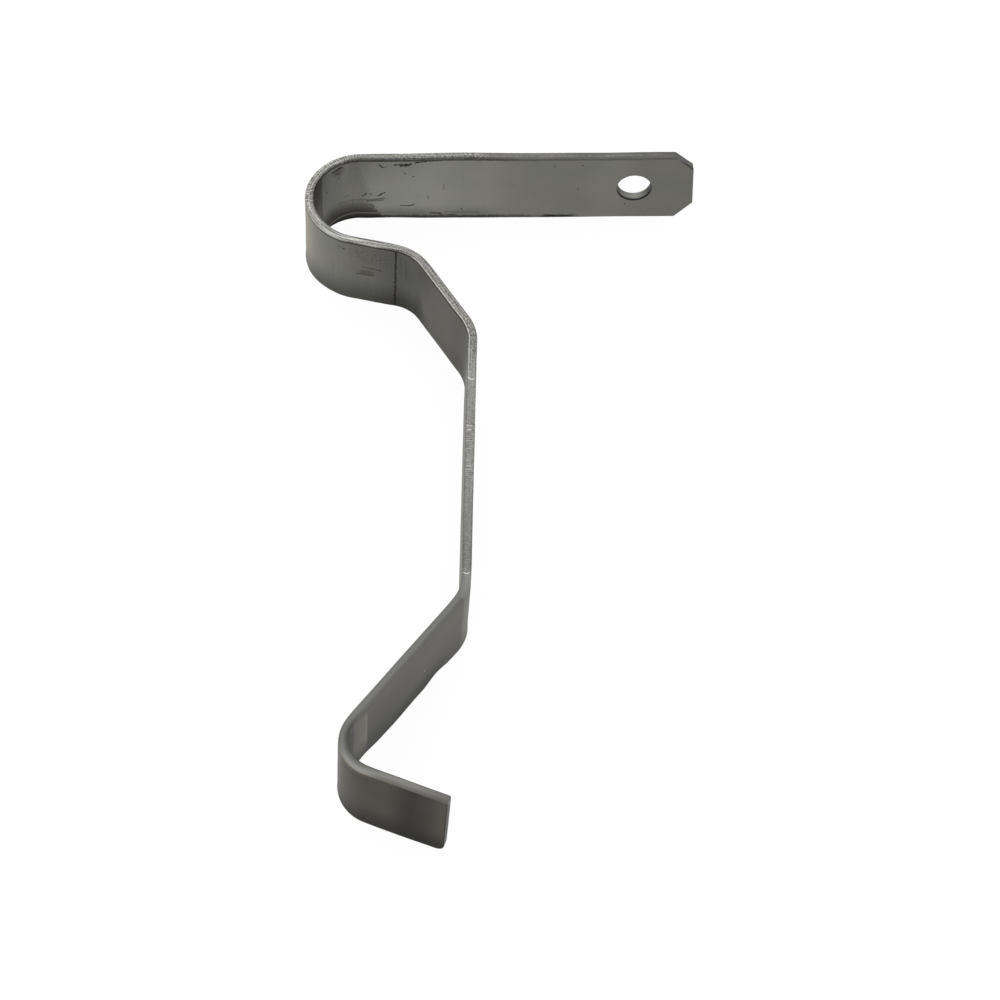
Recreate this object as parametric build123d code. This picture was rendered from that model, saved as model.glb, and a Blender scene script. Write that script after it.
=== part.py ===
from build123d import *
import os

# Flat spring clip: one strip of spring steel, pierced and cropped while it is flat, and then
# bent in one plane round five formers. Millimetres, +Z up.
# It stands on its lower long edge. The origin is the centre of the bolt hole, halfway through
# the metal. The tab runs along X, its seat faces +Y, and the spring arm reaches out along -Y.

# The strip
strip_width = 20.0
strip_thickness = 2.0
edge_radius = 0.3  # the long edges are rolled, not sharp

# The tab, which is bolted to the frame
tab_length = 77.5  # from the cropped end to the start of the return loop
hole_diameter = 8.4  # clears an M8 bolt
hole_to_end = 13.8  # from the centre of the hole to the cropped end
tab_corner_cut = 4.0

# The bends in order from the tab: the inside radius of each, the angle that it turns the
# strip through, and the straight run of strip that follows it
loop_inside_radius = 11.25
loop_angle = 165.5
neck_length = 10.5

neck_inside_radius = 8.5
neck_angle = 47.0
slope_length = 17.2

shoulder_inside_radius = 11.0
shoulder_angle = 32.5
back_length = 61.5

heel_inside_radius = 7.5
heel_angle = 35.5
hook_arm_length = 35.3

hook_inside_radius = 6.5
hook_angle = 106.0
lip_length = 17.2
lip_lower_corner = 1.8  # the lip's corners are rounded, the lower one more than the upper one
lip_upper_corner = 0.4


def run_on(previous, length):
    """A straight run that carries on from the end of the piece before it."""
    return Line(previous @ 1, previous @ 1 + (previous % 1) * length)


def bend_left(previous, inside_radius, angle):
    """A bend of the middle line that carries on from the piece before it. A negative angle
    turns it to the right."""
    return JernArc(previous @ 1, previous % 1, inside_radius + strip_thickness / 2, angle)


# The middle line of the strip, seen from above
tab = Line((hole_to_end, 0), (hole_to_end - tab_length, 0))
loop = bend_left(tab, loop_inside_radius, loop_angle)
neck = run_on(loop, neck_length)
neck_bend = bend_left(neck, neck_inside_radius, -neck_angle)
slope = run_on(neck_bend, slope_length)
shoulder = bend_left(slope, shoulder_inside_radius, -shoulder_angle)
back = run_on(shoulder, back_length)
heel = bend_left(back, heel_inside_radius, -heel_angle)
hook_arm = run_on(heel, hook_arm_length)
hook_bend = bend_left(hook_arm, hook_inside_radius, hook_angle)
lip = run_on(hook_bend, lip_length)
middle_line = Curve() + [
    tab,
    loop,
    neck,
    neck_bend,
    slope,
    shoulder,
    back,
    heel,
    hook_arm,
    hook_bend,
    lip,
]

# The bent strip, stood on its long edge
strip = extrude(trace(middle_line, strip_thickness), strip_width / 2, both=True)


def lower_corner(end):
    """The lower corner edge of the face that closes the strip at this end."""
    return strip.faces().sort_by_distance(end)[0].edges().group_by(Axis.Z)[0]


def upper_corner(end):
    """The upper corner edge of the same face."""
    return strip.faces().sort_by_distance(end)[0].edges().group_by(Axis.Z)[-1]


# The tab's end is cropped at both corners, and the lip's corners are rounded
strip = chamfer(lower_corner(tab @ 0) + upper_corner(tab @ 0), tab_corner_cut)
strip = fillet(lower_corner(lip @ 1), lip_lower_corner)
strip = fillet(upper_corner(lip @ 1), lip_upper_corner)

# The rolled edges: the lines along the strip, but not the short ones across its thickness
narrow_faces = strip.faces().filter_by(Plane.XY)
long_lines = narrow_faces.edges().filter_by(lambda line: line.length > strip_thickness + edge_radius)
strip = fillet(long_lines, edge_radius)

# The bolt hole, pierced straight through the tab
strip -= Plane.XZ * Cylinder(hole_diameter / 2, 2 * strip_thickness)

os.makedirs("parts", exist_ok=True)
strip.label = "spring_strip"
export_step(strip, "parts/spring_strip.step")
print(f"strip before bending: {middle_line.length:.1f} mm long")
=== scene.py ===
import bmesh
import bpy
import math
from mathutils import Matrix, Vector, noise


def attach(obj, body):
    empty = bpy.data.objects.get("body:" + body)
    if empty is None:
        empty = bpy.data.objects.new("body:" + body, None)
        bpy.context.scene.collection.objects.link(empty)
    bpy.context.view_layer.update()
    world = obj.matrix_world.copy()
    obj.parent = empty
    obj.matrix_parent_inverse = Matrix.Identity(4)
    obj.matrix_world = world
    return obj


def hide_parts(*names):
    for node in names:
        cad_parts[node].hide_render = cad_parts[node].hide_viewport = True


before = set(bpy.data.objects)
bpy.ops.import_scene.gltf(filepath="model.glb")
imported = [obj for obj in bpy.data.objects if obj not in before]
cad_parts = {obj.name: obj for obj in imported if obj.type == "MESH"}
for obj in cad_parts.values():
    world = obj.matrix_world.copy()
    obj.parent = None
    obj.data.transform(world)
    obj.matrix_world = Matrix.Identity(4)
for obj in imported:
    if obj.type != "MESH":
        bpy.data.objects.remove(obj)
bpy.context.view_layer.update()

# The spring strip, which is the whole clip. It is cold-rolled spring steel strip, 20 by 2 mm, left
# as it came off the press: sheared to length, cropped at two corners and pierced while it was flat,
# and then bent flatwise round five formers. It stands on its lower long edge.
mm = 0.001
strip_width = 20.0
strip_thickness = 2.0
tab_length = 77.5
hole_from_end = 13.8
hole_diameter = 8.4
tab_upper_corner = (4.2, 3.9)
tab_lower_corner = (4.4, 4.7)
lip_upper_corner = 0.4
lip_lower_corner = 1.8

# Each bend: the former's radius, the angle it turns the strip through, the straight run after it
bends = {
    "loop": (11.25, 165.5, 10.5),
    "neck": (8.5, -47.0, 17.2),
    "shoulder": (11.0, -32.5, 61.5),
    "heel": (7.5, -35.5, 35.3),
    "hook": (6.5, 106.0, 17.2),
}

# The stretches of the bent strip in order: how far along it each starts, where that is, which way
# the strip runs there, and how fast it turns
stretches = [(0.0, hole_from_end, 0.0, math.pi, 0.0)]


def middle_line(along):
    """Where the middle of the strip lies, and which way it runs, so far along from the tab's end."""
    start, x, y, heading, turn = [s for s in stretches if s[0] <= max(along, 0.0)][-1]
    run = along - start
    runs_on = heading + turn * run
    if turn == 0.0:
        return x + run * math.cos(heading), y + run * math.sin(heading), runs_on
    across = (math.sin(runs_on) - math.sin(heading)) / turn
    ahead = (math.cos(heading) - math.cos(runs_on)) / turn
    return x + across, y + ahead, runs_on


bend_spans = {}
strip_end = tab_length
for bend, (former_radius, angle, run_after) in bends.items():
    turn = math.copysign(1.0 / (former_radius + strip_thickness / 2), angle)
    bend_end = strip_end + math.radians(angle) / turn
    bend_spans[bend] = (strip_end, bend_end, turn)
    stretches.append((strip_end, *middle_line(strip_end), turn))
    stretches.append((bend_end, *middle_line(bend_end), 0.0))
    strip_end = bend_end + run_after


def eased(low, high, value):
    """0 below low, 1 above high, and a smooth change between them."""
    share = min(max((value - low) / (high - low), 0.0), 1.0)
    return share * share * (3.0 - 2.0 * share)


# What bending does to the section: its upper and lower edges curl away from the former or towards it,
# by so many millimetres for each unit of how sharply the strip turns, and the metal on the inside of
# the bend is squeezed out sideways
edge_curls = {
    "loop": (0.6, 1.9),
    "neck": (-0.6, 0.8),
    "shoulder": (0.8, 1.8),
    "heel": (-1.3, 1.2),
    "hook": (-1.0, 0.5),
}
edge_squeeze = 0.9
curl_run = 2.5
curl_starts = 6.3


def bend_strength(along, bend):
    """How sharply this bend turns the strip here, per millimetre. It eases in and out."""
    start, end, turn = bend_spans[bend]
    eases_in = eased(start - curl_run, start + curl_run, along)
    eases_out = eased(end + curl_run, end - curl_run, along)
    return turn * eases_in * eases_out


# The tab leans back a little, and the lip leans in: by how much, and over which stretch that changes
tab_lean = 0.024
tab_lean_change = (80.0, 104.0)
lip_lean = 0.035
lip_lean_change = (260.0, 274.0)

# The tab's end was cropped askew and a little too long, and the hole beside it is less askew
crop_skew = 0.087
crop_excess = 0.14
crop_change = (4.0, 9.4)
hole_skew = 0.05
hole_skew_change = (18.5, 26.0)

# The strip is a little over its size in thickness on the tab
tab_thickening = 0.06
thickness_change = (70.0, 90.0)

# Where the tools spread the upper edge (1) or the lower one (-1), or pinched it: the edge, the middle
# of the place, half its run, and by how much. It fades out towards the middle of the width
spread_starts = 4.0
swellings = (
    (1, 6.0, 14.0, 0.15),
    (1, 55.0, 16.0, 0.3),
    (-1, 40.0, 50.0, 0.15),
    (-1, 70.0, 8.0, -0.2),
    (-1, 128.0, 9.0, -0.2),
    (-1, 233.5, 4.0, 0.2),
    (-1, 107.5, 7.0, -0.4),
    (-1, 145.0, 19.0, -0.55),
    (-1, 223.5, 4.5, 0.45),
    (-1, 229.8, 4.5, -0.8),
    (-1, 243.5, 7.0, 0.4),
    (-1, 254.0, 5.0, -0.85),
    (-1, 278.0, 14.0, 0.25),
)

# The rolled faces are a little wavy, and the edges a little ragged
face_wave = 0.05
edge_raggedness = 0.03

# The press marked the neck where its bend begins: a nick across the outer face
crease_along = bend_spans["neck"][0]
crease_depth = 0.07
crease_half_width = 0.28
crease_wander = 0.12


def bent(along, across, off):
    """A point of the flat blank, in the bent strip: so far along it, across from the middle of its
    width, and off the middle of its thickness towards the inside of the loop."""
    strength = sum(bend_strength(along, bend) for bend in bends)
    lower = across < 0.0
    curl = sum(edge_curls[bend][lower] * bend_strength(along, bend) for bend in bends)
    near_edge = eased(curl_starts, strip_width / 2, abs(across)) ** 2
    spread = sum(
        amount * eased(spread_starts, strip_width / 2, edge * across)
        * eased(middle - half_run, middle, along) * eased(middle + half_run, middle, along)
        for edge, middle, half_run, amount in swellings
    )
    wave = face_wave * noise.noise(Vector((along * 0.11, across * 0.16, 3.0)))
    ragged = edge_raggedness * noise.noise(Vector((along * 0.9, off * 1.4, math.copysign(7.0, across))))
    wander = crease_wander * noise.noise(Vector((across * 0.5, 1.0, 5.0)))
    from_crease = abs(along - crease_along - wander)
    nick = crease_depth * (1.0 - eased(0.0, crease_half_width, from_crease)) * eased(-0.4, -1.0, off)
    wider = spread + (edge_squeeze * strength * off + ragged) * near_edge
    width = across + wider * math.copysign(1.0, across)
    leaning = lip_lean * eased(*lip_lean_change, along) - tab_lean * (1.0 - eased(*tab_lean_change, along))
    thicker = 1.0 + tab_thickening * (1.0 - eased(*thickness_change, along))
    lift = off * thicker - curl * near_edge + wave + nick + leaning * across
    past_crop = eased(*crop_change, along)
    past_hole = eased(*hole_skew_change, along)
    askew = crop_skew * (1.0 - past_crop) + hole_skew * past_crop * (1.0 - past_hole)
    x, y, heading = middle_line(along + askew * across - crop_excess * (1.0 - past_crop))
    return (
        (x - math.sin(heading) * lift) * mm,
        (y + math.cos(heading) * lift) * mm,
        width * mm,
    )


# The rolled edge is tight on the tab, and rounder from the heel on, where the strip was tumbled
tab_edge_radius = 0.3
hook_edge_radius = 0.7
rounder_before_heel = (26.0, 2.0)
end_rounding = 0.15
round_steps = 4
band_steps = 8
quarter = [math.radians(90.0 * k / round_steps) for k in range(round_steps + 1)]


def edge_radius(along):
    """The radius of the long edges, which grows before the heel."""
    heel = bend_spans["heel"][0]
    share = eased(heel - rounder_before_heel[0], heel - rounder_before_heel[1], along)
    return tab_edge_radius + (hook_edge_radius - tab_edge_radius) * share


def half_width(along, tab_corner, lip_corner):
    """How far the strip reaches from its middle: less at the tab's cropped corner, which is so long
    and so wide, and at the lip's corner of this radius."""
    corner_length, corner_width = tab_corner
    if along < corner_length:
        return strip_width / 2 - corner_width * (1.0 - along / corner_length)
    into_corner = max(lip_corner - (strip_end - along), 0.0)
    return strip_width / 2 - lip_corner + math.sqrt(lip_corner**2 - into_corner**2)


# Lines along the flat faces of the section, closer together towards the edges
hole_window = 7.0
fine_step = 0.5
inner_lines = [fine_step * k - hole_window for k in range(int(2 * hole_window / fine_step) + 1)]
outer_lines = [7.5, 8.0, 8.5, 9.0, 9.4, 9.7]
face_lines = [-line for line in reversed(outer_lines)] + inner_lines + outer_lines
face_edge = outer_lines[-1]


def section(along):
    """The outline of the strip's section as (across, off, cut) points: up the inner face, over the
    upper edge, down the outer face and back under the lower edge. cut is 1 on sheared metal."""
    into_end = max(end_rounding - min(along, strip_end - along), 0.0)
    inset = end_rounding - math.sqrt(end_rounding**2 - into_end**2)
    thick = strip_thickness / 2 - inset
    radius = edge_radius(along) - inset
    flat = thick - radius
    round_edge = [
        (radius * (math.sin(a) - 1.0), flat + radius * math.cos(a), math.sin(a)) for a in quarter[1:]
    ]
    round_edge += [(0.0, flat * (1.0 - 2.0 * k / band_steps), 1.0) for k in range(1, band_steps)]
    round_edge += [(back, -off, cut) for back, off, cut in reversed(round_edge[:round_steps])]
    above = half_width(along, tab_upper_corner, lip_upper_corner) - inset
    below = half_width(along, tab_lower_corner, lip_lower_corner) - inset
    face = [
        (line / face_edge * ((above if line > 0.0 else below) - radius), thick, 0.0)
        for line in face_lines
    ]
    upper = [(above + back, off, cut) for back, off, cut in round_edge]
    lower = [(-below - back, -off, cut) for back, off, cut in round_edge]
    return face + upper + [(across, -off, cut) for across, off, cut in reversed(face)] + lower


# Stations along the blank, closer together at the crease and both ends, and one for every 9 degrees of
# the lip's round corner
station_step = 0.4
least_step = 0.08
crease_step = 0.1
crease_steps = 8
even = [station_step * k for k in range(1, int(strip_end / station_step))]
at_crease = [crease_along + crease_step * k for k in range(-crease_steps, crease_steps + 1)]
at_tab_end = [end_rounding * (1.0 - math.cos(a)) for a in quarter]
at_lip_end = [strip_end - station for station in at_tab_end]
round_corner = [math.radians(9.0 * k) for k in range(3, 11)]
at_lip_end += [strip_end - lip_lower_corner * (1.0 - math.cos(a)) for a in round_corner]
special = at_crease + at_tab_end + at_lip_end
stations = sorted(special + [s for s in even if min(abs(s - t) for t in special) > least_step])

points = []
blank = []
sheared = []


def punch_point(along, across, off, cut):
    """Makes a point of the bent strip, and keeps where it lies on the blank for the material."""
    points.append(bent(along, across, off))
    blank.append((along, across, off))
    sheared.append(cut)
    return len(points) - 1


outlines = [section(station) for station in stations]
around = len(outlines[0])
first_window_line = face_lines.index(-hole_window)
last_window_line = face_lines.index(hole_window)
window_start = min(range(len(stations)), key=lambda i: abs(stations[i] - hole_from_end + hole_window))
window_end = min(range(len(stations)), key=lambda i: abs(stations[i] - hole_from_end - hole_window))

# Place j of an outline on the inner face lies opposite place opposite - j on the outer one
edge_points = (around - 2 * len(face_lines)) // 2
opposite = 2 * len(face_lines) + edge_points - 1
strip_points = {}


def strip_point(i, j):
    """The point of outline i at place j, which is made when the first face needs it."""
    if (i, j) not in strip_points:
        strip_points[i, j] = punch_point(stations[i], *outlines[i][j])
    return strip_points[i, j]


def in_window(i, k):
    """Whether the face after place k of outline i is one of those that the hole's window leaves out."""
    lines = (k, opposite - k - 1)
    return window_start <= i < window_end and any(first_window_line <= j < last_window_line for j in lines)


# The skin, which leaves a square window round the hole in both faces
faces = []
for i in range(len(stations) - 1):
    for k in range(around):
        if not in_window(i, k):
            after = (k + 1) % around
            corners = [(i, k), (i, after), (i + 1, after), (i + 1, k)]
            faces.append([strip_point(*corner) for corner in corners])
faces.append([strip_point(0, j) for j in range(around)])
faces.append([strip_point(len(stations) - 1, j) for j in range(around)])

# The bolt hole, pierced from the inner face by a punch that went in a little out of square. It is
# narrower along the tab than its size, by one share where the punch went in and by one more where it
# came out. Rings shrink from a square window to the hole's rim, go through the metal, and widen to
# the window of the outer face
window_sides = [(i, first_window_line) for i in range(window_start, window_end)]
window_sides += [(window_end, j) for j in range(first_window_line, last_window_line)]
window_sides += [(i, last_window_line) for i in range(window_end, window_start, -1)]
window_sides += [(window_start, j) for j in range(last_window_line, first_window_line, -1)]
rim_rounding = 0.12
shrink_steps = 8
wall_steps = 6
hole_radius = hole_diameter / 2
hole_narrowing = (0.035, 0.035)
hole_slant = (-0.12, 0.27)
rim_radius = hole_radius + rim_rounding
half_thick = strip_thickness / 2

# Each ring: its share of the way from the window to the hole, its radius, how far off, how much cut
inner_rings = [(k / shrink_steps, rim_radius, half_thick, 0.0) for k in range(1, shrink_steps + 1)]
inner_rings += [
    (1.0, rim_radius - rim_rounding * math.sin(a), half_thick - rim_rounding * (1.0 - math.cos(a)), 1.0)
    for a in quarter[1:]
]
wall_half = half_thick - rim_rounding
wall_offs = [wall_half * (1.0 - 2.0 * k / wall_steps) for k in range(1, wall_steps)]
wall_rings = [(1.0, hole_radius, off, 1.0) for off in wall_offs]
outer_rings = [(share, radius, -off, cut) for share, radius, off, cut in reversed(inner_rings)]
rings = [[strip_point(i, j) for i, j in window_sides]]
for share, radius, off, cut in inner_rings + wall_rings + outer_rings:
    ring = []
    pierced = 0.5 - off / strip_thickness
    narrowed = 1.0 - hole_narrowing[0] - hole_narrowing[1] * pierced
    for i, j in window_sides:
        across = outlines[i][j][0]
        way = math.atan2(across, stations[i] - hole_from_end)
        rim_along = hole_from_end + radius * math.cos(way) * narrowed + hole_slant[0] * pierced
        rim_across = radius * math.sin(way) + hole_slant[1] * pierced
        ring_along = stations[i] * (1.0 - share) + rim_along * share
        ring_across = across * (1.0 - share) + rim_across * share
        ring.append(punch_point(ring_along, ring_across, off, cut))
    rings.append(ring)
rings.append([strip_point(i, opposite - j) for i, j in window_sides])
for ring, next_ring in zip(rings, rings[1:]):
    for k in range(len(ring)):
        after = (k + 1) % len(ring)
        faces.append([ring[k], ring[after], next_ring[after], next_ring[k]])

strip_mesh = bpy.data.meshes.new("spring_strip_bent")
strip_mesh.from_pydata(points, [], faces)
blank_place = strip_mesh.attributes.new("blank", "FLOAT_VECTOR", "POINT")
blank_place.data.foreach_set("vector", [value for point in blank for value in point])
cut_metal = strip_mesh.attributes.new("cut", "FLOAT", "POINT")
cut_metal.data.foreach_set("value", sheared)
skin = bmesh.new()
skin.from_mesh(strip_mesh)
bmesh.ops.recalc_face_normals(skin, faces=skin.faces)
skin.to_mesh(strip_mesh)
skin.free()
strip_mesh.shade_smooth()
strip_mesh.set_sharp_from_angle(angle=math.radians(40.0))
strip = bpy.data.objects.new("spring_strip_bent", strip_mesh)
bpy.context.scene.collection.objects.link(strip)


def is_place(value):
    """Whether a value is a place or a colour, and not one number."""
    return isinstance(value, tuple) or isinstance(value, Wire) and value.socket.type in ("VECTOR", "RGBA")


class Wire:
    """A socket of a material. Sums with wires add the nodes that work them out: Math nodes for
    numbers, and Vector Math nodes for colours and places."""

    def __init__(self, tree, socket=None):
        self.tree = tree
        self.socket = socket

    def node(self, kind, settings=None, inputs=None, output=0):
        """Any other node: its type, its settings, the values or wires of its sockets, its output."""
        made = self.tree.nodes.new(kind)
        for name, setting in (settings or {}).items():
            if name == "stops":
                first, *between, last = sorted(setting.items())
                stops = made.color_ramp.elements
                stops[0].position = first[0]
                stops[1].position = last[0]
                for position, _ in between:
                    stops.new(position)
                for stop, (_, grey) in zip(stops, sorted(setting.items())):
                    stop.color = (grey, grey, grey, 1.0)
            elif name == "easing":
                made.color_ramp.interpolation = setting
            else:
                setattr(made, name, setting)
        for name, value in (inputs or {}).items():
            if isinstance(value, Wire):
                self.tree.links.new(value.socket, made.inputs[name])
            else:
                made.inputs[name].default_value = value
        return Wire(self.tree, made.outputs[output])

    def worked(self, operation, first, second):
        """The node for an operation on two values, which are both numbers or both places."""
        kind = "ShaderNodeVectorMath" if is_place(first) or is_place(second) else "ShaderNodeMath"
        return self.node(kind, {"operation": operation}, {0: first, 1: second})

    def __add__(self, other):
        return self.worked("ADD", self, other)

    def __sub__(self, other):
        return self.worked("SUBTRACT", self, other)

    def __rsub__(self, other):
        return self.worked("SUBTRACT", other, self)

    def __mul__(self, other):
        """A number times a place makes it longer, and a place times a place goes way by way."""
        if is_place(other) and not is_place(self):
            return self.node("ShaderNodeVectorMath", {"operation": "SCALE"}, {0: other, "Scale": self})
        return self.worked("MULTIPLY", self, other)

    __radd__ = __add__
    __rmul__ = __mul__

    def __abs__(self):
        return self.node("ShaderNodeMath", {"operation": "ABSOLUTE"}, {0: self})

    def over(self, other):
        """The higher of two masks."""
        return self.node("ShaderNodeMath", {"operation": "MAXIMUM"}, {0: self, 1: other})

    def dot(self, way):
        """How far a place lies this way."""
        return self.node("ShaderNodeVectorMath", {"operation": "DOT_PRODUCT"}, {0: self, 1: way}, 1)

    def length(self):
        """How far a place lies from the middle."""
        return self.node("ShaderNodeVectorMath", {"operation": "LENGTH"}, {0: self}, 1)

    def rises(self, low, high):
        """A mask that is 0 at low and 1 at high, with a smooth change between them. It falls where
        low is the larger of the two."""
        settings = {"interpolation_type": "SMOOTHSTEP"}
        return self.node("ShaderNodeMapRange", settings, {"Value": self, "From Min": low, "From Max": high})

    def within(self, start, full, fading, end):
        """A mask that rises from start to full, and falls again from fading to end."""
        return self.rises(start, full) * self.rises(end, fading)

    def noise(self, stretch, detail=2.0, roughness=0.5):
        """Noise with this many waves per millimetre along, across and through the strip."""
        inputs = {"Vector": self * stretch, "Scale": 1.0, "Detail": detail, "Roughness": roughness}
        return self.node("ShaderNodeTexNoise", {}, inputs)

    def graded(self, stops):
        """Changes smoothly along the strip between values given at millimetres from the tab's end."""
        settings = {"stops": {at / strip_end: value for at, value in stops.items()}, "easing": "EASE"}
        ramp = self.node("ShaderNodeValToRGB", settings, {"Fac": self * (1.0 / strip_end)})
        return self.node("ShaderNodeRGBToBW", {}, {"Color": ramp})


def stroke(place, start, end, width):
    """A scratch or a smear: 1 along the line from start to end, and 0 half its width away."""
    run = Vector((*end, 0.0)) - Vector((*start, 0.0))
    from_start = place - (*start, 0.0)
    share = from_start.dot(run / max(run.length_squared, 1e-6))
    share = share.node("ShaderNodeClamp", {}, {"Value": share})
    return (from_start - share * tuple(run)).length().rises(width / 2, width / 6)


def patch(place, centre, size, soft=0.6):
    """An oval patch: 1 in the middle, and 0 at its rim."""
    stretched = (place - (*centre, 0.0)) * (1.0 / size[0], 1.0 / size[1], 0.0)
    return stretched.length().rises(1.0, 1.0 - soft)


# The steel's material is laid out on the flat blank. A place is in millimetres: along the strip from
# the tab's end, across it from the middle of its width, and off the middle of its thickness, which is
# more than 0 towards the inner face. The masks below stand for what was done to the metal there
spring_steel = bpy.data.materials.new("spring_steel_dull")
spring_steel.use_nodes = True
steel = Wire(spring_steel.node_tree)
place = steel.node("ShaderNodeAttribute", {"attribute_name": "blank"}, {}, "Vector")
cut = steel.node("ShaderNodeAttribute", {"attribute_name": "cut"}, {}, "Fac")
along = place.node("ShaderNodeSeparateXYZ", {}, {"Vector": place}, "X")
across = place.node("ShaderNodeSeparateXYZ", {}, {"Vector": place}, "Y")
off = place.node("ShaderNodeSeparateXYZ", {}, {"Vector": place}, "Z")
flat_place = place * (1.0, 1.0, 0.0)
inner = off.rises(-0.3, 0.3)
from_middle = abs(across)

# How light the rolled faces are along the strip: partly the steel's own tone, and partly painted
# reflection and shade, which takes the outside of the loop from light to dark round its bend and into the
# neck
inner_tone = along.graded({
    0: 0.152, 10: 0.16, 20: 0.19, 27: 0.182, 36: 0.188, 42: 0.195, 50: 0.228, 64: 0.272, 74: 0.268,
    80: 0.215, 88: 0.155, 96: 0.13, 215: 0.1, 240: 0.09, 262: 0.082, 288: 0.08,
})
outer_tone = along.graded({
    0: 0.17, 80: 0.25, 100: 0.27, 105: 0.205, 109: 0.18, 116: 0.14, 124: 0.1, 128: 0.097, 131: 0.11,
    134: 0.093, 143: 0.096, 148: 0.086, 152: 0.063, 155: 0.07, 160: 0.12, 166: 0.15, 210: 0.15,
    262: 0.11, 266.5: 0.068, 270: 0.061, 275: 0.06, 281: 0.022, 284: 0.036, 287.5: 0.066,
})

# Inside the loop the scale starts sharply where the former held the strip. The formers rubbed the heel
# and the hook arm light. Painted shade darkens the inner face beside those rubs, down the hook arm and
# inside the hook
scale_edge = 89.2
scaled_loop = along.within(scale_edge, scale_edge + 0.25, 100.0, 104.0)
heel_rub = along.within(218.6, 219.0, 220.9, 221.3) * (1.0 + 0.06 * across)
heel_shade = along.within(221.2, 221.8, 224.0, 238.0) * across.rises(5.0, -3.0)
arm_shade = along.within(222.0, 251.0, 252.8, 253.3) * across.rises(9.0, -4.0)
hook_rub = along.within(253.0, 253.4, 255.0, 258.0) * across.within(-8.5, -5.0, 7.0, 8.8)
hook_line = along.within(253.0, 253.3, 253.6, 254.0) * across.within(-5.5, -3.0, 6.6, 7.6)
hook_shade = along.within(257.3, 258.2, 267.0, 273.0) * across.rises(-6.0, 1.0)
inner_tone = inner_tone * (1.0 - 0.57 * scaled_loop) * (1.0 + 0.34 * heel_rub)
inner_tone = inner_tone * (1.0 + 0.45 * hook_rub) * (1.0 + 0.3 * hook_line) * (1.0 - 0.84 * hook_shade)

# A haze of scale begins unevenly inside the loop
wobble = place.noise((1.3, 1.3, 1.0), 2.0)
rough_place = flat_place + (wobble - 0.5) * (0.9, 0.6, 0.0)
loop_haze = (along - 0.3 * across + 5.0 * wobble).rises(77.8, 79.4) * along.rises(100.0, 90.0)
inner_tone = inner_tone * (1.0 - 0.14 * loop_haze) * (1.0 - 0.45 * arm_shade) * (1.0 - 0.17 * heel_shade)

# A painted highlight lies on the outside of the hook's bend, under its upper edge
bend_highlight = along.within(262.0, 264.5, 267.0, 274.0) * across.rises(7.6, 9.2)
outer_tone = outer_tone * (1.0 + 0.7 * bend_highlight)
face_tone = outer_tone + (inner_tone - outer_tone) * inner

# Painted shade darkens the faces towards the lower edge, on which the strip stands, with a ragged band
# of it lower on the inner face, and a thin dark line right at that edge
lower_edge_shade = along.graded({
    0: 0.0, 74: 0.05, 90: 0.35, 100: 0.52, 116: 0.52, 124: 0.62, 130: 0.72, 133: 0.6, 136: 0.15,
    146: 0.22, 154: 0.4, 160: 0.15, 215: 0.15, 224: 0.4, 231: 0.92, 247: 0.92, 256: 0.65, 262: 0.6,
    265: 0.75, 271: 0.66, 276: 0.75, 284: 0.84, 288: 0.8,
})
ragged_across = across + (place.noise((0.9, 0.5, 1.0), 3.0, 0.6) - 0.5) * 1.2
ragged_lower_shade = along.graded({0: 0.0, 44: 0.0, 50: 0.3, 57: 0.3, 64: 0.52, 96: 0.5, 106: 0.2, 112: 0.0, 288: 0.0})
edge_line = along.graded({
    0: 0.0, 26: 0.0, 28.5: 0.75, 34: 0.75, 36.5: 0.2, 39: 0.6, 42: 0.55, 48: 0.7, 92: 0.6, 104: 0.2,
    112: 0.15, 150: 0.2, 156: 0.0, 288: 0.0,
})
face_tone = face_tone * (1.0 - lower_edge_shade * across.rises(-1.0, -9.3))
face_tone = face_tone * (1.0 - ragged_lower_shade * inner * ragged_across.rises(-4.8, -9.4))
face_tone = face_tone * (1.0 - edge_line * inner * ragged_across.rises(-8.6, -9.1))

# The rolled faces are cloudy, with fine lines along the strip, a fine grit, and finer lines across
# them round the loop
cloud = place.noise((0.07, 0.12, 0.3), 3.0)
rolled = place.noise((0.3, 4.0, 1.0), 3.0, 0.6)
grit = place.noise((2.6, 2.6, 1.0), 3.0, 0.65)
fine_lines = place.noise((1.6, 0.1, 1.0), 2.0) - 0.5
lined = along.graded({0: 0.04, 74: 0.05, 82: 0.3, 98: 0.2, 108: 0.2, 132: 0.25, 140: 0.05, 288: 0.05})
face_tone = face_tone * (0.72 + 0.28 * cloud + 0.14 * rolled + 0.2 * grit + lined * fine_lines)

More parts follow.
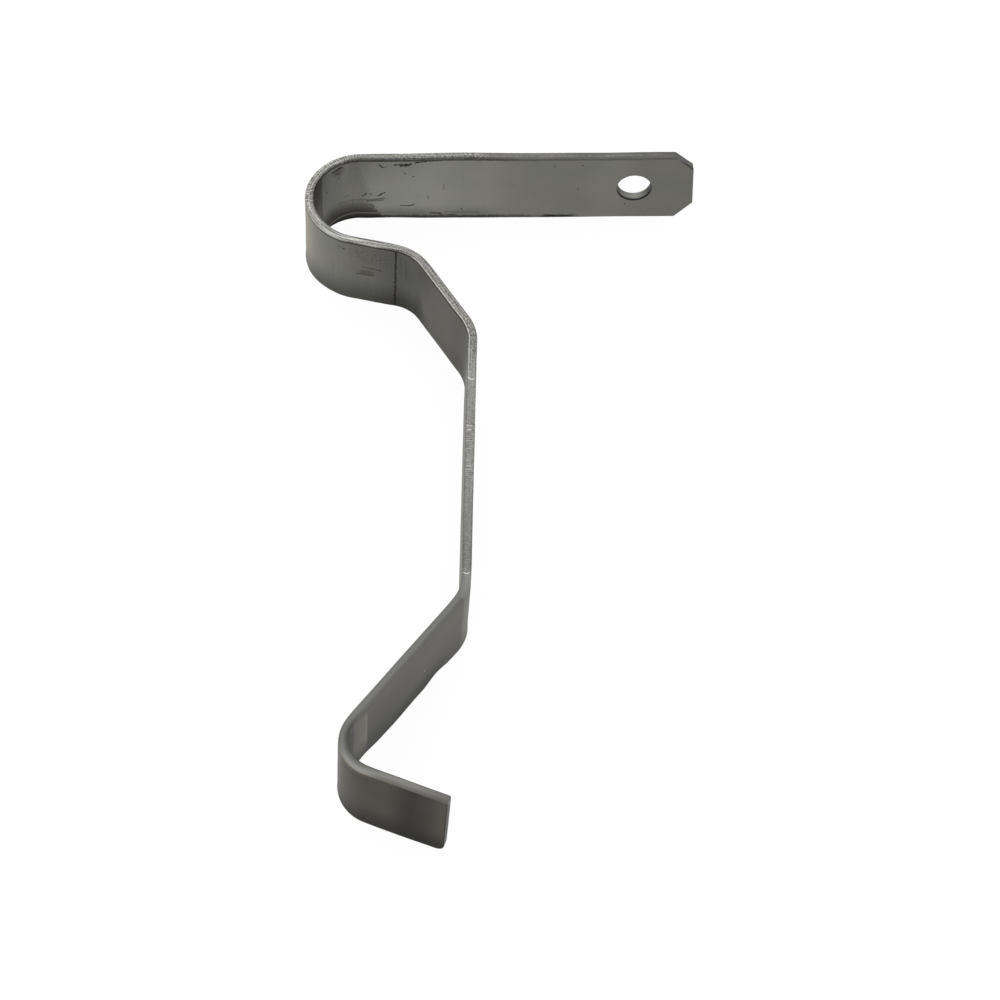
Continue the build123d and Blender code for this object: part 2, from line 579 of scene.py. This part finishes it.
# Marks that the press and the former left on the inner face: where from, where to, width, darkness
inner_scratches = (
    ((58.3, 9.9), (60.0, 9.5), 0.4, 0.7),
    ((60.0, 9.5), (63.0, 9.45), 0.4, 0.75),
    ((62.9, 9.35), (65.3, 9.0), 0.6, 0.85),
    ((66.4, 8.6), (67.6, 8.0), 0.8, 0.85),
    ((67.4, 8.5), (68.7, 8.0), 0.8, 0.85),
    ((68.5, 8.6), (70.0, 8.3), 0.7, 0.8),
    ((72.0, 8.0), (72.7, 7.4), 0.4, 0.8),
    ((72.7, 7.4), (73.7, 8.4), 0.5, 0.85),
    ((82.9, 8.7), (85.3, 8.3), 0.7, 0.85),
    ((83.0, 6.6), (84.4, 7.3), 0.4, 0.7),
    ((83.3, 5.7), (84.4, 5.3), 0.3, 0.5),
    ((72.2, -1.0), (73.8, -2.0), 0.5, 0.8),
    ((76.4, -1.3), (77.4, -2.1), 0.5, 0.75),
    ((80.8, -1.2), (82.2, -1.8), 0.25, 0.4),
    ((72.2, -2.9), (75.0, -3.2), 0.5, 0.5),
    ((72.6, -3.5), (76.4, -3.8), 0.7, 0.5),
    ((74.5, -3.3), (84.0, -3.3), 0.35, 0.4),
    ((76.0, -4.9), (81.0, -5.2), 0.35, 0.4),
    ((65.3, -5.1), (66.6, -5.6), 0.45, 0.75),
    ((66.6, -5.6), (68.5, -5.4), 0.4, 0.7),
    ((59.0, -8.2), (61.4, -8.0), 0.6, 0.7),
    ((58.5, -8.9), (59.4, -8.3), 0.5, 0.6),
    ((50.0, -7.9), (58.0, -7.7), 0.35, 0.45),
    ((54.9, -8.5), (58.5, -8.6), 0.4, 0.5),
    ((62.2, -2.1), (62.0, -3.5), 0.35, 0.35),
    ((58.5, 1.6), (58.6, 0.0), 0.5, 0.3),
    ((76.0, -4.9), (74.7, -6.1), 0.38, 0.75),
    ((75.3, -4.9), (74.5, -5.6), 0.35, 0.75),
    ((76.8, -5.4), (75.6, -6.3), 0.35, 0.6),
    ((85.1, -4.2), (85.0, -5.2), 0.3, 0.5),
    ((27.1, 0.2), (27.0, -0.5), 0.3, 0.4),
    ((28.6, -9.3), (30.4, -9.1), 0.6, 0.6),
    ((31.8, -9.2), (34.2, -9.0), 0.6, 0.6),
)
inner_specks = (
    (15.75, -5.45), (26.5, 7.8), (33.0, 7.6), (54.1, -6.8),
    (65.7, 4.5), (67.7, 5.5), (75.5, -1.4), (87.5, 3.0),
)
speck_size = (0.32, 0.36)

# A streaky smear of oil in the lower half of the loop, and a smudge in its upper half
streaks = place.noise((0.2, 2.4, 1.0), 3.0, 0.6)
smear_start = (along - 0.69 * across + 2.6 * wobble).rises(79.4, 81.6)
smear = smear_start * along.rises(94.0, 85.0) * ragged_across.rises(-2.0, -7.8)
smudge = patch(rough_place, (83.9, 7.6), (2.4, 1.9), 0.8)
inner_marks = (smear * (0.5 + 0.25 * streaks)).over(smudge * 0.3)
for start, end, width, darkness in inner_scratches:
    inner_marks = inner_marks.over(stroke(rough_place, start, end, width) * darkness)
for speck in inner_specks:
    inner_marks = inner_marks.over(patch(flat_place, speck, speck_size, 0.9) * 0.85)

# The crease on the outer face, where the neck's bend begins, with the rubbed and pitted part before it
# and scratches on both sides
outer_scratches = (
    ((126.1, 7.9), (126.2, 1.0), 0.35, 0.25),
    ((124.7, 8.0), (124.7, 2.0), 0.3, 0.2),
    ((115.7, 2.2), (120.2, 1.9), 0.4, 0.6),
    ((114.6, -0.5), (118.2, -0.4), 0.6, 0.5),
)
outer_marks = stroke(rough_place, (crease_along, 10.0), (crease_along + 0.1, -10.0), 0.7) * 0.7
for start, end, width, darkness in outer_scratches:
    outer_marks = outer_marks.over(stroke(rough_place, start, end, width) * darkness)
outer_marks = outer_marks.over(patch(rough_place, (116.8, 0.3), (2.3, 1.3), 0.5) * 0.3)
outer_marks = outer_marks.over(patch(flat_place, (131.0, -5.5), (2.9, 7.5), 0.8) * 0.36)
outer_marks = outer_marks.over(patch(rough_place, (110.6, 7.6), (0.5, 0.5), 0.9) * 0.55)
outer_marks = outer_marks.over(patch(rough_place, (111.5, 7.2), (0.6, 0.5), 0.9) * 0.6)
pitted = patch(flat_place, (117.6, 6.6), (6.4, 5.0), 0.6)
pits = place.noise((1.7, 2.9, 1.0), 4.0, 0.7).rises(0.5, 0.64)
outer_marks = outer_marks.over(pitted * pits * 0.5)
marks = outer_marks + (inner_marks - outer_marks) * inner

# A burr line runs under the upper edge of both faces, broken here and there
burr_width = 0.3 + 0.4 * place.noise((0.6, 0.0, 0.3), 3.0)
burred = along.graded({
    0: 0.2, 16: 0.3, 40: 0.4, 48: 0.65, 80: 0.7, 105: 0.7, 150: 0.7, 158: 0.4, 212: 0.35, 220: 0.0,
    288: 0.0,
})
burr = (across + burr_width).rises(9.8, 10.1) * burred
marks = marks.over(burr)
face_tone = face_tone * (1.0 - marks)

# A bright scrape runs along the smear inside the loop
scrape = stroke(flat_place, (69.5, -8.6), (74.4, -8.1), 0.35) * 0.4
scrape = scrape.over(stroke(flat_place, (74.4, -8.1), (78.8, -7.85), 0.45))
scrape = scrape.over(stroke(flat_place, (78.8, -7.85), (82.0, -7.95), 0.45))
scrape = scrape.over(stroke(flat_place, (82.0, -7.95), (87.5, -9.0), 0.45))
face_tone = face_tone + 0.12 * scrape * inner

# The sheared edges: dull by the hole, torn bright along the tab, with cross lines round the loop
# and down the back, and long lines on the neck. The side that the shears met first is darker
cut_tone = along.graded({
    0: 0.15, 12: 0.165, 20: 0.19, 40: 0.21, 48: 0.26, 50: 0.37, 70: 0.37, 82: 0.38, 98: 0.48, 108: 0.53,
    118: 0.42, 130: 0.36, 150: 0.35, 170: 0.34, 190: 0.33, 200: 0.29, 215: 0.27, 217: 0.25, 222: 0.2,
    250: 0.21, 262: 0.21, 271: 0.27, 279: 0.25, 288: 0.19,
})
met_first = along.graded({
    0: 0.05, 15: 0.05, 24: 0.2, 40: 0.25, 48: 0.6, 78: 0.65, 84: 0.4, 92: 0.5, 104: 0.4, 130: 0.1,
    160: 0.0, 288: 0.0,
})
cut_tone = cut_tone * (1.0 - met_first * off.rises(0.15, 0.7))
cross_lines = along.graded({
    0: 0.0, 76: 0.05, 81: 0.9, 97: 0.8, 102: 0.2, 126: 0.3, 132: 0.5, 152: 0.4, 160: 0.3, 168: 0.15,
    176: 0.3, 179: 0.5, 190: 0.45, 194: 0.15, 206: 0.15, 209: 0.35, 214: 0.35, 216: 0.0, 288: 0.0,
})
long_lines = along.graded({
    0: 0.25, 44: 0.35, 50: 0.5, 76: 0.5, 98: 0.7, 110: 1.0, 124: 1.0, 132: 0.4, 156: 0.4, 166: 0.15,
    214: 0.15, 216: 0.0, 288: 0.0,
})
torn = along.graded({
    0: 0.05, 46: 0.15, 50: 1.0, 68: 0.9, 78: 0.5, 100: 0.25, 122: 0.15, 132: 0.5, 152: 0.8, 166: 0.4,
    212: 0.3, 216: 0.05, 288: 0.05,
})
chatter = along * 12.6 + place.noise((0.5, 0.0, 0.25), 2.0) * 14.0
chatter = chatter.node("ShaderNodeMath", {"operation": "SINE"}, {0: chatter})
cross = 0.28 * chatter + 0.8 * place.noise((4.4, 0.0, 0.8), 2.0, 0.6).rises(0.38, 0.62) - 0.4
long = place.noise((0.1, 0.0, 3.6), 2.0, 0.6).rises(0.38, 0.62) - 0.5
tears = place.noise((1.7, 0.0, 3.6), 4.0, 0.7).rises(0.36, 0.64) - 0.5
sheared_lines = cross_lines * cross + long_lines * long + torn * tears
cut_tone = cut_tone * (1.0 + 1.2 * sheared_lines).over(0.15)

# A broken hairline runs along the middle of the edge on the tab
hair = along.within(5.0, 9.0, 40.0, 47.0) * off.within(-0.2, 0.0, 0.05, 0.2)
cut_tone = cut_tone + 0.12 * hair * place.noise((0.9, 0.0, 2.0), 3.0).rises(0.42, 0.62)

# Bright ticks on the sheared edge, where a tool nicked it, and a long painted highlight along its outer
# side from the neck past the shoulder: from and to as (along, off), width and brightness
band_place = place.node("ShaderNodeCombineXYZ", {}, {"X": along, "Y": off})
ticks_and_highlights = (
    ((165.3, -0.8), (165.8, -0.2), 0.3, 0.55),
    ((165.8, -0.2), (165.65, 0.6), 0.3, 0.5),
    ((178.2, -0.7), (178.2, 0.35), 0.32, 0.4),
    ((179.2, -0.7), (179.2, 0.3), 0.32, 0.35),
    ((182.1, -0.7), (182.1, 0.2), 0.2, 0.15),
    ((184.0, -0.6), (184.1, 0.3), 0.25, 0.15),
    ((187.2, -0.7), (187.1, 0.2), 0.28, 0.2),
    ((188.6, -0.7), (188.6, 0.2), 0.25, 0.3),
    ((189.5, -0.7), (189.5, 0.2), 0.25, 0.25),
    ((214.3, -0.7), (214.4, -0.1), 0.2, 0.15),
    ((215.1, -0.7), (215.5, -0.2), 0.3, 0.4),
    ((215.5, -0.2), (215.45, 0.1), 0.3, 0.45),
    ((215.45, 0.1), (215.2, 0.55), 0.3, 0.4),
    # A painted highlight along the outer side of the edge, in two pieces
    ((128.0, -0.85), (153.0, -0.82), 0.3, 0.45),
    ((152.0, -0.75), (165.0, -0.68), 0.3, 0.2),
)
bright = 0.0
for start, end, width, brightness in ticks_and_highlights:
    bright = (stroke(band_place, start, end, width) * brightness).over(bright)

# The hole's wall: sheared smooth and light at the bottom, dark at both sides, and painted in shade
# under the rim on the inner face, which the punch rolled over
from_hole = (flat_place - (hole_from_end, 0.0, 0.0)).length()
in_hole = from_hole.rises(hole_radius + 0.4, hole_radius + 0.2)
wall_tone = (0.09 + 0.2 * from_middle.rises(1.5, 4.0)) * (1.0 + 0.4 * long)
wall_tone = wall_tone * (1.0 - 0.9 * off.rises(0.45, 0.7))

# A burr shades the inner side of the upper cropped corner. From the heel on, where the strip was
# tumbled, the edges carry painted highlights: at the heel, along the outer side of the hook arm's edges
# and on the outer side of the hook's bend, whose inner side is painted in shade
corner_burr = along.rises(4.0, 1.4) * across.rises(5.0, 5.6) * off.rises(0.5, 0.75)
tumbled = along.rises(212.0, 216.0)
heel_glint = along.rises(213.0, 216.5) * (along + 0.3 * off).rises(221.6, 221.2) * off.rises(-0.2, 0.7)
arm_edge_highlight = along.within(218.0, 224.0, 257.0, 264.0) * off.rises(-0.4, -0.95)
bend_edge_highlight = along.within(260.0, 267.0, 268.5, 275.0) * off.rises(-0.1, -0.8)
bend_edge_shade = along.within(254.0, 260.0, 268.0, 278.0) * off.rises(-0.4, 0.5)
cut_tone = (cut_tone + bright) * (1.0 - 0.75 * corner_burr) * (1.0 - 0.4 * bend_edge_shade)
cut_tone = cut_tone * (1.0 + 0.3 * arm_edge_highlight) * (1.0 + 0.75 * bend_edge_highlight) * (1.0 + 0.4 * heel_glint)
cut_tone = cut_tone + (wall_tone - cut_tone) * in_hole

# One bright dot on the hook arm, and painted shade on the lip's sheared end, which is darker than its face
bright_dot = patch(flat_place, (234.0, -1.9), (0.3, 0.3), 0.7) * inner
lip_end_shade = along.rises(strip_end - 0.3, strip_end - 0.1)
face_tone = (face_tone + 0.3 * bright_dot) * (1.0 - 0.6 * lip_end_shade)

# The bare metal of the edges reaches further round them where the strip was tumbled
rounded = cut.worked("POWER", cut, 0.5)
bare = cut + (rounded - cut) * tumbled
tone = face_tone + (cut_tone - face_tone) * bare

# The tint, as red, green and blue parts of the tone. Steel is a little yellow, bare metal is bluer, and
# marks are browner. The scale grows warmer along the strip, and ruddy on the lip and inside the loop
steel_tint = (1.01, 1.0, 0.9)
bare_tint = (-0.028, 0.0, 0.085)
mark_tint = (0.04, 0.0, -0.06)
cloud_tint = (0.08, 0.0, -0.03)
warm_tint = (0.04, 0.0, -0.1)
ruddy_tint = (0.06, 0.0, -0.065)
lip_tint = (0.02, 0.0, 0.0)
rub_tint = (-0.04, 0.0, 0.06)
warmer = along.graded({0: 0.0, 120: 0.0, 140: 0.7, 240: 0.83, 264: 0.85, 278: 0.7, 288: 0.65})
cooler = along.graded({0: 0.45, 14: 0.3, 24: 0.6, 44: 0.6, 50: 1.0, 214: 1.0, 224: 0.6, 258: 0.7, 288: 0.5})
ruddy_lip = along.rises(262.0, 277.0)
ruddy = ruddy_lip.over(1.4 * scaled_loop).over(0.6 * hook_shade)
tint = cooler * rounded * bare_tint + marks * mark_tint + steel_tint
tint = tint + (cloud - 0.5) * cloud_tint + ruddy_lip * lip_tint
tint = tint + (1.0 - rounded) * (warmer * warm_tint + ruddy * ruddy_tint + heel_rub * rub_tint)
colour = tone * tint

# Marks, cut edges and the inside of the hook's bend are rougher than the rolled faces
dull_hook = along.rises(258.5, 260.5) * hook_shade * inner * (1.0 - cut)
roughness = 0.36 + 0.1 * cloud + 0.1 * grit + 0.15 * marks + 0.08 * cut + 0.12 * dull_hook
height = 0.4 * rolled + 0.6 * grit - 1.5 * marks + cut * (2.0 * sheared_lines)
relief_depth = 0.03 * mm
relief = steel.node("ShaderNodeBump", {}, {"Height": height, "Distance": relief_depth, "Strength": 1.0})
shader = spring_steel.node_tree.nodes["Principled BSDF"]
shader.inputs["Metallic"].default_value = 1.0
steel.tree.links.new(colour.socket, shader.inputs["Base Color"])
steel.tree.links.new(roughness.socket, shader.inputs["Roughness"])
steel.tree.links.new(relief.socket, shader.inputs["Normal"])
strip_mesh.materials.append(spring_steel)
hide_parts("spring_strip")
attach(strip, "root")

# The floor under the clip: a wide pale sheet, white to the camera and in reflections, that still
# takes a part of the clip's shadow.
floor_size = 6.0
floor_glow = 1.05
seen_white = 0.9
mirrored_white = 0.75
lowest = min(point[2] for point in points)
floor_mesh = bpy.data.meshes.new("floor")
half = floor_size / 2
floor_corners = [(-half, -half), (half, -half), (half, half), (-half, half)]
floor_mesh.from_pydata([(x, y, lowest) for x, y in floor_corners], [], [range(4)])
floor = bpy.data.objects.new("floor", floor_mesh)
bpy.context.scene.collection.objects.link(floor)
paper = bpy.data.materials.new("white_paper")
paper.use_nodes = True
sheet = Wire(paper.node_tree)
matt = paper.node_tree.nodes["Principled BSDF"]
matt.inputs["Base Color"].default_value = (0.9, 0.9, 0.9, 1.0)
matt.inputs["Roughness"].default_value = 0.9
matt.inputs["Specular IOR Level"].default_value = 0.0
glow = sheet.node("ShaderNodeEmission", {}, {"Strength": floor_glow})
seen = sheet.node("ShaderNodeLightPath", {}, {}, "Is Camera Ray") * seen_white
mirrored = sheet.node("ShaderNodeLightPath", {}, {}, "Is Glossy Ray")
mirrored = mirrored.over(sheet.node("ShaderNodeLightPath", {}, {}, "Is Transmission Ray")) * mirrored_white
paper_surface = Wire(sheet.tree, matt.outputs["BSDF"])
mixed = sheet.node("ShaderNodeMixShader", {}, {0: seen.over(mirrored), 1: paper_surface, 2: glow})
sheet.tree.links.new(mixed.socket, paper.node_tree.nodes["Material Output"].inputs["Surface"])
floor_mesh.materials.append(paper)

# The light: a white tent all round, and one soft box high behind the clip, which brightens the
# upper edges of the strip.
tent = bpy.data.worlds.new("tent")
tent.use_nodes = True
tent.node_tree.nodes["Background"].inputs["Color"].default_value = (1.0, 1.0, 1.0, 1.0)
tent.node_tree.nodes["Background"].inputs["Strength"].default_value = 0.8
bpy.context.scene.world = tent
soft_box = bpy.data.lights.new("soft_box", "AREA")
soft_box.shape = "RECTANGLE"
soft_box.size = 0.9
soft_box.size_y = 0.6
soft_box.energy = 1.2
soft_box_place = Vector((-0.1, 0.45, 0.75))
lit_place = Vector((0.0, -0.08, 0.0))
lamp = bpy.data.objects.new("soft_box", soft_box)
lamp.location = soft_box_place
lamp.rotation_euler = (lit_place - soft_box_place).to_track_quat("-Z", "Y").to_euler()
bpy.context.scene.collection.objects.link(lamp)

# The camera stands in front of the clip and looks steeply down on it, leaning a little to one side.
camera_place = Vector((-77.391, -387.778, 446.414)) * mm
look_down = math.radians(55.915)
look_right = math.radians(7.796)
lean = math.radians(5.557)
view = bpy.data.cameras.new("camera")
view.sensor_width = 36.0
view.lens = 90.63
camera = bpy.data.objects.new("camera", view)
turned = (
    Matrix.Rotation(-look_right, 4, "Z")
    @ Matrix.Rotation(math.radians(90.0) - look_down, 4, "X")
    @ Matrix.Rotation(lean, 4, "Z")
)
camera.matrix_world = Matrix.Translation(camera_place) @ turned
bpy.context.scene.collection.objects.link(camera)
bpy.context.scene.camera = camera
bpy.context.scene.view_settings.view_transform = "Standard"
